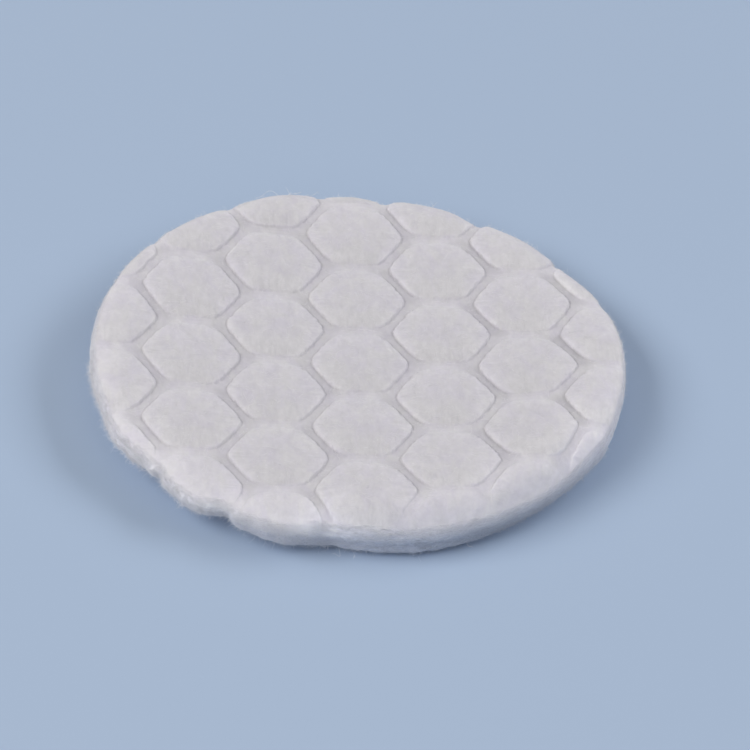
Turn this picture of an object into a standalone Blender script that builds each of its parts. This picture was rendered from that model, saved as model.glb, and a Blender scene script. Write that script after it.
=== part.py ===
"""A round cotton pad with a honeycomb pressed into its upper skin. It lies flat in the middle and its rim curls up a
little. The table is z = 0, and the honeycomb's columns run along Y."""

import math

import bpy
import numpy as np
from mathutils import Vector
from mathutils.geometry import delaunay_2d_cdt

# Overall sizes, in metres. The cut outline is round, drawn out a little along the diagonal at 45 degrees, and it
# bulges out or falls back in places. Each bulge has an azimuth and a half width in degrees, and a reach.
PAD_DIAMETER = 0.0577
DIAGONAL_EXTRA = 0.00045
BULGES = (
    (211, 8, 0.00075),
    (231, 10, 0.0012),
    (239, 3, -0.0008),
    (250, 6, 0.0004),
    (262, 4, -0.0006),
    (268, 12, -0.0009),
    (335, 7, 0.00035),
    (34, 8, -0.0005),
    (62, 3, -0.0005),
    (84, 4, -0.0006),
    (95, 4, -0.0003),
    (108, 6, 0.0004),
)
MIDDLE_THICKNESS = 0.0048

# Honeycomb pressed into the upper skin, and where the middle cell stands. The level grooves, which run along X
# between the cells of one column, are shallower than the slanting ones.
COLUMN_PITCH = 0.00904
ROW_PITCH = 0.01096
MIDDLE_CELL_X = 0.00003
MIDDLE_CELL_Y = -0.00112
GROOVE_DEPTH = 0.0003
LEVEL_GROOVE_DEPTH = 0.00012
LEVEL_GROOVE_HALF_LENGTH = 0.0026
LEVEL_GROOVE_HALF_WIDTH = 0.0015
GROOVE_FLOOR_WIDTH = 0.0009
GROOVE_WALL_WIDTH = 0.0002
CORNER_SOFTNESS = 0.00045
EDGE_ROUNDING = 0.00012
EDGE_ROUNDING_WIDTH = 0.0009
CROWN_HEIGHT = 0.00018

# Near one place on the rim the honeycomb is drawn together, most at that place.
SHIFTED_PLACE = (0.0275, -0.013)
SHIFT = (-0.0013, 0.0004)
SHIFT_REACH = 0.006

# The grooves run out at the rim. The share of their depth that is left there stands at equal steps round it.
GROOVE_END_WIDTH = 0.0019
GROOVE_ENDS = (0.5, 0.8, 0.8, 0.6, 0.45, 0.15, 0.1, 0.25)

# Curl of the whole pad. Outside the flat middle the rim rises, and along the high diagonal it rises more.
FLAT_RADIUS = 0.005
RIM_RISE = 0.0013
RIM_RISE_EXTRA = 0.0007
HIGH_DIAGONAL_DEGREES = -36

# Rim. The skin rolls down to its edge, and the cut side below it swells out past that edge. The roll's drops, the
# swells and the heights of the side's lower edge stand at equal steps round the rim, the first at +X.
ROLL_WIDTH = 0.004
ROLL_POWER = 2.5
ROLL_DROPS = (
    *(0.0006, 0.0007, 0.0008, 0.0008, 0.0008, 0.0007, 0.0005, 0.0004),
    *(0.0004, 0.0004, 0.0006, 0.0011, 0.0017, 0.0021, 0.0024, 0.0013),
)
LOW_EDGE_HEIGHTS = (0.0016, 0.0008, 0.0010, 0.0016, 0.0018, 0.0024, 0.0002, 0.0013)
SIDE_SWELLS = (0.0005, 0.0007, 0.0007, 0.0007, 0.0006, 0.0006, 0.0007, 0.0004)
SIDE_ROUNDNESS = 0.65
UNDERCUT = 0.0003

# Flat spot of the underside, which the pad rests on
REST_RADIUS = 0.011

# Mesh fineness: points in a loop, rings between two edges, and the least distance between points of the top
RIM_POINTS = 240
SIDE_RINGS = (0.12, 0.35, 0.65, 0.88)
WALL_POINTS = 36
CROWN_RINGS = ((0.0005, 24), (0.0018, 12))
ROLL_RINGS = (0.15, 0.4, 0.7, 1.0)
UNDERSIDE_RINGS = ((0.0, 48), (0.35, 60), (0.7, 90))
LEAST_SPACING = 0.00025
MERGE_DISTANCE = 1e-9

COTTON_COLOR = (0.86, 0.85, 0.86, 1.0)
COTTON_ROUGHNESS = 0.95

MEAN_RADIUS = PAD_DIAMETER / 2


def clear_scene():
    for old in list(bpy.data.objects):
        bpy.data.objects.remove(old)


def cotton_material():
    cotton = bpy.data.materials.new("cotton")
    cotton.use_nodes = True
    shader = cotton.node_tree.nodes["Principled BSDF"]
    shader.inputs["Base Color"].default_value = COTTON_COLOR
    shader.inputs["Roughness"].default_value = COTTON_ROUGHNESS
    shader.inputs["Metallic"].default_value = 0.0
    return cotton


def turns(count):
    """Equal steps of a full turn, in radians."""
    return np.arange(count) * 2 * math.pi / count


def circle(radius, count):
    return radius * np.stack([np.cos(turns(count)), np.sin(turns(count))], axis=-1)


def rim_radius(azimuth):
    """Distance of the cut outline from the pad's middle."""
    radius = MEAN_RADIUS + DIAGONAL_EXTRA * np.sin(2 * azimuth)
    for degrees, half_width, reach in BULGES:
        away = (azimuth - math.radians(degrees) + math.pi) % (2 * math.pi) - math.pi
        radius = radius + reach * np.exp(-((away / math.radians(half_width)) ** 2))
    return radius


def outline(azimuth, inset):
    """Points of the pad's outline, moved towards the middle by the inset."""
    radius = rim_radius(azimuth) - inset
    return np.stack([radius * np.cos(azimuth), radius * np.sin(azimuth)], axis=-1)


def azimuth_of(points):
    return np.arctan2(points[:, 1], points[:, 0])


def radius_of(points):
    return np.hypot(points[:, 0], points[:, 1])


def skin_distance(points):
    """How far each point lies inside the edge of the skin."""
    azimuth = azimuth_of(points)
    return rim_radius(azimuth) - side_swell(azimuth) - radius_of(points)


def around_rim(values, azimuth):
    """A smooth closed curve through values that stand at equal steps of azimuth, the first at 0."""
    values = np.asarray(values)
    place = np.asarray(azimuth) / (2 * math.pi) * len(values)
    step = np.floor(place).astype(int)
    t = place - step
    before, start, end, after = (values[(step + k) % len(values)] for k in (-1, 0, 1, 2))
    slope_in = (end - before) / 2
    slope_out = (after - start) / 2
    bend = 3 * (end - start) - 2 * slope_in - slope_out
    return start + slope_in * t + bend * t**2 + (slope_in + slope_out - 2 * (end - start)) * t**3


def eased(share):
    share = np.clip(share, 0, 1)
    return share**2 * (3 - 2 * share)


def side_swell(azimuth):
    return around_rim(SIDE_SWELLS, azimuth)


def pattern_shift(points):
    """How far the honeycomb is moved from its regular place at each point."""
    away = radius_of(points - np.array(SHIFTED_PLACE))
    return np.exp(-((away / SHIFT_REACH) ** 2))[:, None] * np.array(SHIFT)


def cell_centres():
    """Centres of the cells that may reach the pad. Every second column is half a row lower."""
    columns = math.ceil(MEAN_RADIUS / COLUMN_PITCH) + 1
    rows = math.ceil(MEAN_RADIUS / ROW_PITCH) + 1
    centres = [
        (
            MIDDLE_CELL_X + column * COLUMN_PITCH,
            MIDDLE_CELL_Y + (row - (column % 2) / 2) * ROW_PITCH,
        )
        for column in range(-columns, columns + 1)
        for row in range(-rows, rows + 2)
    ]
    return np.array(centres)


def edge_distance(offsets):
    """Distance from points around a cell's centre to the nearest groove's middle, softened at the cell's corners."""
    closeness = 0
    for columns, rows in ((0, 1), (0, -1), (1, 0.5), (1, -0.5), (-1, 0.5), (-1, -0.5)):
        next_x, next_y = columns * COLUMN_PITCH, rows * ROW_PITCH
        gap = math.hypot(next_x, next_y)
        to_groove = gap / 2 - (offsets[..., 0] * next_x + offsets[..., 1] * next_y) / gap
        closeness = closeness + np.exp(-to_groove / CORNER_SOFTNESS)
    return -CORNER_SOFTNESS * np.log(closeness)


def groove_distance(points):
    """Distance from each point of the pad to the nearest groove's middle."""
    points = points - pattern_shift(points)
    return edge_distance(points[:, None] - cell_centres()[None]).max(axis=1)


def level_share(points):
    """1 along the level grooves, whose middles are half a row from a cell's, and 0 at the slanting ones."""
    level_middles = cell_centres() + np.array([0, ROW_PITCH / 2])
    away = (points - pattern_shift(points))[:, None] - level_middles[None]
    along, across = away[..., 0] / LEVEL_GROOVE_HALF_LENGTH, away[..., 1] / LEVEL_GROOVE_HALF_WIDTH
    return np.exp(-(along**4) - across**4).max(axis=1)


def groove_depth(points):
    """Depth of the grooves near each point. A level one that would follow the rim is gone there."""
    level = level_share(points)
    azimuth = azimuth_of(points)
    off_rim = skin_distance(points) / GROOVE_END_WIDTH
    left_at_rim = around_rim(GROOVE_ENDS, azimuth)
    share = left_at_rim + (1 - left_at_rim) * eased(off_rim)
    following = level * np.sin(azimuth) ** 4 * (1 - eased(off_rim - 0.5))
    return (GROOVE_DEPTH + (LEVEL_GROOVE_DEPTH - GROOVE_DEPTH) * level) * share * (1 - following)


def pressed_depth(points):
    """How far the skin lies below a cell's crown: a gentle slope, a rounded edge, then a steep wall."""
    inside = groove_distance(points) - GROOVE_FLOOR_WIDTH / 2
    wall = 1 - eased(inside / GROOVE_WALL_WIDTH)
    edge = np.clip(1 - (inside - GROOVE_WALL_WIDTH / 2) / EDGE_ROUNDING_WIDTH, 0, 1)
    crown = np.clip(1 - inside / (ROW_PITCH / 2 - GROOVE_FLOOR_WIDTH / 2), 0, 1)
    return groove_depth(points) * wall + EDGE_ROUNDING * edge**2 + CROWN_HEIGHT * crown**2


def rim_rise(azimuth):
    from_diagonal = azimuth - math.radians(HIGH_DIAGONAL_DEGREES)
    return RIM_RISE + RIM_RISE_EXTRA * np.cos(2 * from_diagonal)


def curl(points):
    """How far the curled pad lifts each point."""
    azimuth = azimuth_of(points)
    outside_flat = np.clip(radius_of(points) - FLAT_RADIUS, 0, None) / (rim_radius(azimuth) - FLAT_RADIUS)
    return rim_rise(azimuth) * outside_flat**2


def roll(points):
    """How far the skin has rolled down towards its edge."""
    drop = around_rim(ROLL_DROPS, azimuth_of(points))
    return drop * np.clip(1 - skin_distance(points) / ROLL_WIDTH, 0, 1) ** ROLL_POWER


def top_height(points):
    return MIDDLE_THICKNESS - pressed_depth(points) + curl(points) - roll(points)


def low_edge_height(azimuth):
    """Height of the cut side's lower edge, which never goes below the table."""
    return np.clip(around_rim(LOW_EDGE_HEIGHTS, azimuth), 0, None)


def underside_height(points):
    """Flat on the table in the middle, and rising to the cut side's lower edge."""
    azimuth = azimuth_of(points)
    edge_radius = rim_radius(azimuth) - side_swell(azimuth) - UNDERCUT
    outside_rest = np.clip(radius_of(points) - REST_RADIUS, 0, None) / (edge_radius - REST_RADIUS)
    return low_edge_height(azimuth) * outside_rest**2


def cell_ring(level, count):
    """Points around a cell, all at the same distance from its grooves, found by halving along each direction."""
    ways = circle(1.0, count)
    near, far = np.zeros(count), np.full(count, ROW_PITCH)
    for _ in range(40):
        middle = (near + far) / 2
        inside = edge_distance(ways * middle[:, None]) > level
        near = np.where(inside, middle, near)
        far = np.where(inside, far, middle)
    return ways * near[:, None]


def spaced_from(points, others):
    """The points that keep the least spacing to every one of the others."""
    gaps = np.hypot(*(points[:, None] - others[None]).transpose(2, 0, 1))
    return points[gaps.min(axis=1) > LEAST_SPACING]


def top_points():
    """Points inside the skin's edge that follow the honeycomb and the roll of the rim."""
    floor_edge = GROOVE_FLOOR_WIDTH / 2
    crown_edge = floor_edge + GROOVE_WALL_WIDTH
    rings = [cell_ring(floor_edge, WALL_POINTS), cell_ring(crown_edge, WALL_POINTS)]
    for from_wall, count in CROWN_RINGS:
        rings.append(cell_ring(crown_edge + from_wall, count))
    one_cell = np.concatenate([*rings, np.zeros((1, 2))])
    points = (cell_centres()[:, None] + one_cell[None]).reshape(-1, 2)
    moved = points + pattern_shift(points)
    points = points + pattern_shift(moved)
    points = points[skin_distance(points) > LEAST_SPACING]
    azimuth = turns(RIM_POINTS // 2)
    for share in ROLL_RINGS:
        ring = outline(azimuth, side_swell(azimuth) + share * ROLL_WIDTH)
        ring = ring[groove_distance(ring) > crown_edge]
        points = np.concatenate([points, spaced_from(ring, points)])
    return points


def underside_points():
    """Points of the flat spot and of the rise around it."""
    rings = []
    for share, count in UNDERSIDE_RINGS:
        edge = outline(turns(count), side_swell(turns(count)) + UNDERCUT)
        rest = circle(REST_RADIUS, count)
        rings.append(rest + share * (edge - rest))
    return np.concatenate([*rings, np.zeros((1, 2))])


def filled(edge, inner):
    """Triangles over the loop `edge` through all the inner points. They number the edge's points first."""
    points = [Vector(p) for p in np.concatenate([edge, inner])]
    loop = [(i, (i + 1) % len(edge)) for i in range(len(edge))]
    inside_loop = 1
    result = delaunay_2d_cdt(points, loop, [], inside_loop, MERGE_DISTANCE)
    triangles, merged_from = result[2], result[3]
    return [tuple(min(merged_from[i]) for i in triangle) for triangle in triangles]


def side_rings(azimuth, skin_edge_height):
    """Rings of points down the cut side, between the skin's edge and the underside's."""
    low = low_edge_height(azimuth)
    rings = []
    for share in SIDE_RINGS:
        drawn_in = side_swell(azimuth) * (1 - math.sin(math.pi * share) ** SIDE_ROUNDNESS)
        flat = outline(azimuth, drawn_in + UNDERCUT * share**3)
        rings.append(np.column_stack([flat, skin_edge_height + (low - skin_edge_height) * share]))
    return rings


def build_pad():
    azimuth = turns(RIM_POINTS)
    top_edge = outline(azimuth, side_swell(azimuth))
    low_edge = outline(azimuth, side_swell(azimuth) + UNDERCUT)
    top_inner, low_inner = top_points(), underside_points()
    top_flat = np.concatenate([top_edge, top_inner])
    low_flat = np.concatenate([low_edge, low_inner])
    top = np.column_stack([top_flat, top_height(top_flat)])
    low = np.column_stack([low_flat, underside_height(low_flat)])
    side = side_rings(azimuth, top[:RIM_POINTS, 2])

    first_low = len(top)
    first_side = first_low + len(low)
    faces = filled(top_edge, top_inner)
    for face in filled(low_edge, low_inner):
        faces.append(tuple(first_low + i for i in face[::-1]))
    ring_starts = [0, *(first_side + k * RIM_POINTS for k in range(len(side))), first_low]
    for upper, lower in zip(ring_starts, ring_starts[1:]):
        for i in range(RIM_POINTS):
            j = (i + 1) % RIM_POINTS
            faces.append((upper + i, lower + i, lower + j, upper + j))

    mesh = bpy.data.meshes.new("cotton_pad")
    mesh.from_pydata(np.concatenate([top, low, *side]).tolist(), [], faces)
    mesh.shade_smooth()
    mesh.materials.append(cotton_material())
    pad = bpy.data.objects.new("cotton_pad", mesh)
    bpy.context.scene.collection.objects.link(pad)


clear_scene()
build_pad()
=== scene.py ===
"""Looks of the round cotton pad: its embossed skin, fluffy cut side and loose fibres, on a pale table."""

import math

import bpy
import numpy as np
from mathutils import Matrix, Vector, noise
from mathutils.geometry import delaunay_2d_cdt


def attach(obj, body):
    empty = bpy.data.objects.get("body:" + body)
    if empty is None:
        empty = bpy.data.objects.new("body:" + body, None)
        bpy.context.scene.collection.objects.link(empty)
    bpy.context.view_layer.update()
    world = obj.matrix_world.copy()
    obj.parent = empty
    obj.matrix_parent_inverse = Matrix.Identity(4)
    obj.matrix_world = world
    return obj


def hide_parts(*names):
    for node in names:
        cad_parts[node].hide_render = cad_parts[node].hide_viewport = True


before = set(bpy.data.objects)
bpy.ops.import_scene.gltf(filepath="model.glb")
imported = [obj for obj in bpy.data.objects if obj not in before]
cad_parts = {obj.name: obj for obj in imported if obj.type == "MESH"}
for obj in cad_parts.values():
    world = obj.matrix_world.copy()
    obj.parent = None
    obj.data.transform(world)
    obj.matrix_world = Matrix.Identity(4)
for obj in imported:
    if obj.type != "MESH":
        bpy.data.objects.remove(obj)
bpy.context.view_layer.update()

MM = 0.001

# The pad's sizes, in metres. They follow the construction, and the outline and grooves are finer here. Rows
# of values stand at equal steps round the rim, the first at azimuth 0. Each bulge of the cut outline has an
# azimuth and a half width in degrees, and a reach.
PAD_DIAMETER = 57.7 * MM
MEAN_RADIUS = PAD_DIAMETER / 2
DIAGONAL_EXTRA = 0.45 * MM
BULGES = (
    (211, 8, 0.75 * MM),
    (213, 1.2, -0.25 * MM),
    (223, 7, -0.5 * MM),
    (223, 1.2, -0.3 * MM),
    (231, 10, 1.2 * MM),
    (239, 3, -0.6 * MM),
    (250, 6, 0.4 * MM),
    (262, 4, -0.6 * MM),
    (268, 12, -0.9 * MM),
    (335, 7, 0.35 * MM),
    (34, 8, -0.5 * MM),
    (62, 3, -0.5 * MM),
    (84, 4, -0.6 * MM),
    (95, 4, -0.3 * MM),
    (108, 6, 0.4 * MM),
)
MIDDLE_THICKNESS = 4.8 * MM
COLUMN_PITCH = 9.04 * MM
ROW_PITCH = 10.96 * MM
MIDDLE_CELL_X = 0.03 * MM
MIDDLE_CELL_Y = -1.12 * MM
SHIFTED_PLACE = np.array([27.5, -13]) * MM
SHIFT = np.array([-1.3, 0.4]) * MM
SHIFT_REACH = 6 * MM
GROOVE_DEPTH = 0.22 * MM
LEVEL_GROOVE_DEPTH = 0.06 * MM
LEVEL_GROOVE_HALF_LENGTH = 2.6 * MM
LEVEL_GROOVE_HALF_WIDTH = 2.0 * MM
DEEP_LEVEL_PLACE = np.array([-9, 20.8]) * MM
DEEP_LEVEL_EXTRA = 0.14 * MM
DEEP_LEVEL_REACH = 4 * MM
GROOVE_FLOOR_WIDTH = 0.9 * MM
GROOVE_WALL_WIDTH = 0.16 * MM
WALL_MIDDLE = (GROOVE_FLOOR_WIDTH + GROOVE_WALL_WIDTH) / 2
BACK_SLOPE_WIDTH = 1.2 * MM
BACK_SLOPE_START = 1.5 * MM
GROOVE_END_WIDTH = 1.9 * MM
FRONT_END_WIDTH = 2.8 * MM
GROOVE_ENDS = np.array([0.7, 0.7, 0.8, 0.8, 0.8, 0.7, 0.6, 0.5, 0.45, 0.3, 0.15, 0.2, 0.1, 0.1, 0.3, 0.9])
KEPT_GROOVE_SHARE = 0.7
CORNER_SOFTNESS = 0.45 * MM
EDGE_ROUNDING = 0.12 * MM
EDGE_ROUNDING_WIDTH = 0.9 * MM
CROWN_HEIGHT = 0.18 * MM
RUN_OUT_DEPTH = 0.15 * MM
FLAT_RADIUS = 5 * MM
RIM_RISE = 1.3 * MM
RIM_RISE_EXTRA = 0.7 * MM
HIGH_DIAGONAL_DEGREES = -36
ROLL_WIDTH = 4.0 * MM
ROLL_POWER = 2.5
ROLL_DROPS = np.array([0.6, 0.7, 0.8, 0.8, 0.8, 0.7, 0.5, 0.4, 0.4, 0.4, 0.6, 1.1, 1.7, 2.1, 2.4, 1.3]) * MM
LOW_EDGE_HEIGHTS = np.array([1.6, 0.8, 1.0, 1.6, 1.8, 2.4, 0.2, 1.3]) * MM
SIDE_SWELLS = np.array([0.5, 0.7, 0.7, 0.7, 0.6, 0.6, 0.7, 0.4]) * MM
SIDE_ROUNDNESS = 0.65
UNDERCUT = 0.3 * MM
REST_RADIUS = 11 * MM

# Fineness of the visible mesh
RIM_POINTS = 720
SIDE_ROWS = 20
RING_SPACING = 0.17 * MM
RING_LEVELS = np.array([0.08, 0.24, 0.37, 0.45, 0.5, 0.55, 0.6, 0.65, 0.72, 0.82, 0.98, 1.2, 1.5, 1.9]) * MM
RING_HALVINGS = 30
CELL_MEAN_RADIUS = 0.6 * COLUMN_PITCH
MIDDLE_SPACING = 0.36 * MM
MIDDLE_GAP = 0.7 * MIDDLE_SPACING
EDGE_SPACING = 0.16 * MM
EDGE_MARGIN = 2 * MM
UNDERSIDE_SPACING = 0.7 * MM
UNDERSIDE_GAP = 0.6 * UNDERSIDE_SPACING
MERGE_DISTANCE = 1e-9
SMALLEST_LENGTH = 1e-12

# Softness of the real thing: the pattern wanders, its walls crumple, the skin puckers and the side frays
PATTERN_WANDER = 0.10 * MM
WALL_CRUMPLE = 0.12 * MM
FINE_CRUMPLE_SHARE = 0.8
PUCKER_DEPTH = 0.09 * MM
PUCKER_STRETCH = 4
CELL_STEP = 3
SWELL_UNEVENNESS = 0.06 * MM
FINE_UNEVENNESS_SHARE = 0.5
SCALLOP_DEPTH = 0.12 * MM
SCALLOP_HALF_WIDTH = 0.8 * MM
SCALLOP_POWER = 0.7
LAYER_RELIEF = 0.16 * MM
LAYER_DRIFT = 0.6 * MM
LAYER_SPAN = 3 * MM
WISP_STRETCH = 5
TUFT_SHARE = 0.6
LEAST_FRAYING = 0.2
FRONT_FRAYING = 0.8
LEFT_FRAYING = 0.5
FRONT_RECESS = 0.3 * MM
FRONT_LIP = 0.12 * MM
NOTCH_DEPTH = 0.5 * MM
RIM_RAGGEDNESS = 0.24 * MM
FINE_RAG_SHARE = 0.6
FRONT_RAG_SHARE = 0.7
RAG_SPAN = 0.8 * MM
FINE_RAG_SPAN = 0.4 * MM
DIMPLE_DEPTH = 0.05 * MM

# Kinds of bumps: their size, and their place in the noise
WANDER_X_BUMPS = (7 * MM, 40.3)
WANDER_Y_BUMPS = (7 * MM, 49.4)
CRUMPLE_BUMPS = (0.8 * MM, 61.0)
FINE_CRUMPLE_BUMPS = (0.35 * MM, 64.0)
PUCKER_BUMPS = (0.45 * MM, 3.7)
UNEVEN_BUMPS = (2.6 * MM, 5.5)
FINE_UNEVEN_BUMPS = (1.1 * MM, 8.2)
DRIFT_BUMPS = (6 * MM, 21.0)
WISP_BUMPS = (0.55 * MM, 33.0)
TUFT_BUMPS = (1.3 * MM, 12.5)
RAG_BUMPS = (1.5 * MM, 71.0)
FINE_RAG_BUMPS = (0.55 * MM, 74.0)
DIMPLE_BUMPS = (1.8 * MM, 17.0)

# Places on the rim: an azimuth and a half width, in degrees
KEPT_GROOVE = (261, 4)
FRONT_END = (285, 18)
FRAYED_FRONT = (275, 28)
FRAYED_LEFT = (220, 22)
RECESS = (275, 22)
LIP = (275, 14)
NOTCH = (240, 1.5)
RAGGED_LEFT = (222, 28)
RAGGED_FRONT = (275, 30)
# From here on: places of painted light and painted shade round the rim
DARK_FRONT = (270, 55)
BACK_RIM = (35, 32)
RIGHT_RIM = (335, 14)
FRONT_SKIN = (298, 22)
LEFT_SIDE = (222, 36)
FRONT_SIDE = (272, 45)
RIGHT_SIDE = (305, 24)
LIT_BULGE = (260, 7)
LIT_NOTCH = (237, 5)
BLUE_SHADED_SIDE = (293, 48)

# Ramps from 0 to 1: where each starts, and its width. Those that aren't in mm run down the cut side.
LEVEL_END_RAMP = (1.8 * MM, 1.2 * MM)
PUCKER_START_RAMP = (0.45 * MM, 0.4 * MM)
PUCKER_END_RAMP = (0.9 * MM, 1.6 * MM)
PLATEAU_RAMP = (0.6 * MM, 1.0 * MM)
PLEAT_START_RAMP = (0.5 * MM, 0.4 * MM)
# The next four spread the grooves' darkening, partly painted shade, the painted light on the cells' back
# edges, the painted shade at the right, and the brighter painted highlights at the right
GROOVE_TONE_RAMP = (WALL_MIDDLE - 0.1 * MM, 0.2 * MM)
BACK_EDGE_RAMP = (3.2 * MM, 1.2 * MM)
RIGHT_GROOVE_SHADE_RAMP = (8 * MM, 12 * MM)
BRIGHTER_HIGHLIGHT_RAMP = (3 * MM, 12 * MM)
LAYER_RAMP = (0.08, 0.4)
NOTCH_RAMP = (0.35, 0.3)
RAGGED_FRONT_RAMP = (0.65, 0.25)
# From here on they spread painted light and painted shade down the cut side
RIGHT_SIDE_RAMP = (-0.12, 1.0)
LIT_BULGE_END_RAMP = (0.42, 0.35)
LIT_NOTCH_END_RAMP = (0.6, 0.4)
BLUE_SHADED_SIDE_RAMP = (-0.2, 0.85)

# Bells over the cut side: the middle and the half width, as shares of the way down it
RECESS_BELL = (0.6, 0.14)
LIP_BELL = (0.84, 0.09)

# Rises to 1 from a value at the skin's edge, over a share of the way down the cut side
# The first three spread painted light down the cut side
LEFT_SIDE_RISE = (0.45, 0.35)
LIT_BULGE_RISE = (0.4, 0.2)
LIT_NOTCH_RISE = (0.0, 0.2)
RAGGED_LEFT_RISE = (0.45, 0.3)

# Painted light and painted shade of the skin and the cut side, with the paler cell edges and darker
# grooves of the pressed cotton, as shares of their brightness, and how far some of them reach
EDGE_PALENESS = 0.05
EDGE_PALENESS_REACH = 1.2 * MM
EDGE_LINE_PALENESS = 0.02
EDGE_LINE_REACH = 0.28 * MM
# Painted highlights on the cells' edges where they face the lamps, brightest facing the left and towards the
# pad's right
LEFT_EDGE_PAINTED_HIGHLIGHT = 0.16
RIGHT_EDGE_PAINTED_HIGHLIGHT = 0.035
WIDE_LEFT_EDGE_PAINTED_HIGHLIGHT = 0.04
RIGHT_HIGHLIGHT_EXTRA = 0.25
LEVEL_EDGE_SHARE = 0.15
LEFT_WAY = np.array([-0.8, -0.6])
BRIGHTER_HIGHLIGHT_WAY = np.array([1.0, 0.5])
# Painted light near the rim, on the cut side and fading onto the skin, set place by place
RIM_PAINTED_LIGHT = 0.05
SKIN_RIM_PAINTED_LIGHT = 0.06
SKIN_RIM_REACH = 3.5 * MM
BACK_RIM_PAINTED_LIGHT = 0.05
BACK_RIM_REACH = 3.0 * MM
RIGHT_RIM_PAINTED_LIGHT = 0.125
RIGHT_RIM_REACH = 3.5 * MM
FRONT_SKIN_PAINTED_LIGHT = 0.05
FRONT_SKIN_BELL = (3.8 * MM, 2.5 * MM)
SIDE_TONE_REACH = 2.0 * MM
# Painted light on the cut side at the lower left, high up at the front, on a bulge and at the notch, and
# painted shade low down at the front and right
LEFT_SIDE_PAINTED_LIGHT = 0.27
FRONT_SIDE_PAINTED_LIGHT = 0.06
FRONT_SIDE_PAINTED_SHADE = 0.005
HIGH_UP_POWER = 1.5
RIGHT_SIDE_PAINTED_SHADE = 0.24
BULGE_PAINTED_LIGHT = 0.38
NOTCH_PAINTED_LIGHT = 0.26
# Painted light on the back edge of each cell, where it slopes into its level groove
BACK_EDGE_PAINTED_LIGHT = 0.04
# The grooves' darkening: partly denser pressed cotton, partly painted shade, most in the grooves that run
# down to the right and at the pad's right
STEEP_GROOVE_DULLNESS_AND_SHADE = 0.13
STEEP_CHANGE_AREA = 4 * MM**2
OTHER_GROOVE_DULLNESS_AND_SHADE = 0.065
RIGHT_GROOVE_PAINTED_SHADE = 0.07
DEEP_LEVEL_DULLNESS_AND_SHADE = 0.07
# Painted shade on the front part of each cell, and painted light on its back part
FRONT_PAINTED_SHADE_BACK_LIGHT = 0.04

# Where the skin is pleated: how far towards a cell's front and its sides, as shares of the cell
FRONT_PLEAT_SHARE = 0.8
FRONT_PLEAT_SIDE_LOSS = 0.6
SIDE_PLEAT_RAMP = (0.3, 0.6)
SIDE_PLEAT_HALF_WIDTH = 3 * MM

# Loose fibres. Pairs are the least and the most, but FRONT_FIBRE_SPREAD is a mean azimuth and its spread.
# Each kind of fuzz has a name, a number of hairs, its first and last azimuth, a mean length, and the shares
# down the side between which it stands. Each long fibre has an azimuth and a share down the side where it
# starts, a heading, a climb and a length. Angles are in degrees, but AZIMUTH_SPREAD and HEADING_WAVE are in
# radians.
CHANCE = np.random.default_rng(11)
FIBRE_TAPER = (0.12, 0.93)
LOWEST_FIBRE = 0.03 * MM
WAVE_PACES = (0.5, 1.6)
HEADING_WAVE = 0.5

SIDE_FIBRES = 3400
FRONT_FIBRE_SHARE = 0.65
FRONT_FIBRE_SPREAD = (255, 40)
SIDE_FIBRE_LENGTHS = (0.8 * MM, 3.2 * MM)
SIDE_FIBRE_RADII = (0.010 * MM, 0.018 * MM)
SIDE_FIBRE_SHARES = (0.04, 0.98)
SIDE_FIBRE_SLANT = 0.12
SIDE_FIBRE_WAVE = 0.04
SIDE_FIBRE_LIFTS = (0.01 * MM, 0.14 * MM)
FIBRE_END_DEPTH = 0.02 * MM

FUZZ_KINDS = (
    ("cotton_left_fuzz", 9000, 185, 262, 0.40 * MM, 0.0, 1.0),
    ("cotton_front_fuzz", 9000, 252, 335, 0.30 * MM, 0.3, 1.0),
    ("cotton_back_fuzz", 4500, -12, 187, 0.26 * MM, 0.0, 0.4),
)
HAIRS_PER_TUFT = 6
AZIMUTH_SPREAD = 0.012
TUFT_SHARE_SPREAD = 0.10
TUFT_BETA = 1.2
FUZZ_LOWEST_SHARE = 0.97
FUZZ_ROOT_DEPTH = 0.07 * MM
TUFT_SWEEP_SPREAD = 0.9
HAIR_SWEEP_SPREAD = 0.7
TUFT_CLIMB = 0.1
TUFT_CLIMB_SPREAD = 0.4
HAIR_CLIMB_SPREAD = 0.3
FUZZ_GAMMA = 4.0
FUZZ_WAVE = 0.14
FUZZ_RADII = (0.008 * MM, 0.013 * MM)

INNER_AREA_SHARE = 0.9
SKIN_FIBRES = 2200
SKIN_FIBRE_LENGTHS = (0.5 * MM, 2.2 * MM)
SKIN_FIBRE_LIFTS = (-0.01 * MM, 0.02 * MM)
SKIN_FIBRE_RADII = (0.006 * MM, 0.010 * MM)
SKIN_FIBRE_MARGIN = 0.1 * MM
WALL_FIBRES = 6000
WALL_FIBRE_LENGTHS = (0.12 * MM, 0.45 * MM)
WALL_FIBRE_LIFTS = (0.01 * MM, 0.07 * MM)
WALL_FIBRE_RADII = (0.007 * MM, 0.012 * MM)
WALL_FIBRE_REACH = 0.2 * MM
WALL_FIBRE_ROOT = -0.01
MOST_LEVEL_SHARE = 0.5

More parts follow.
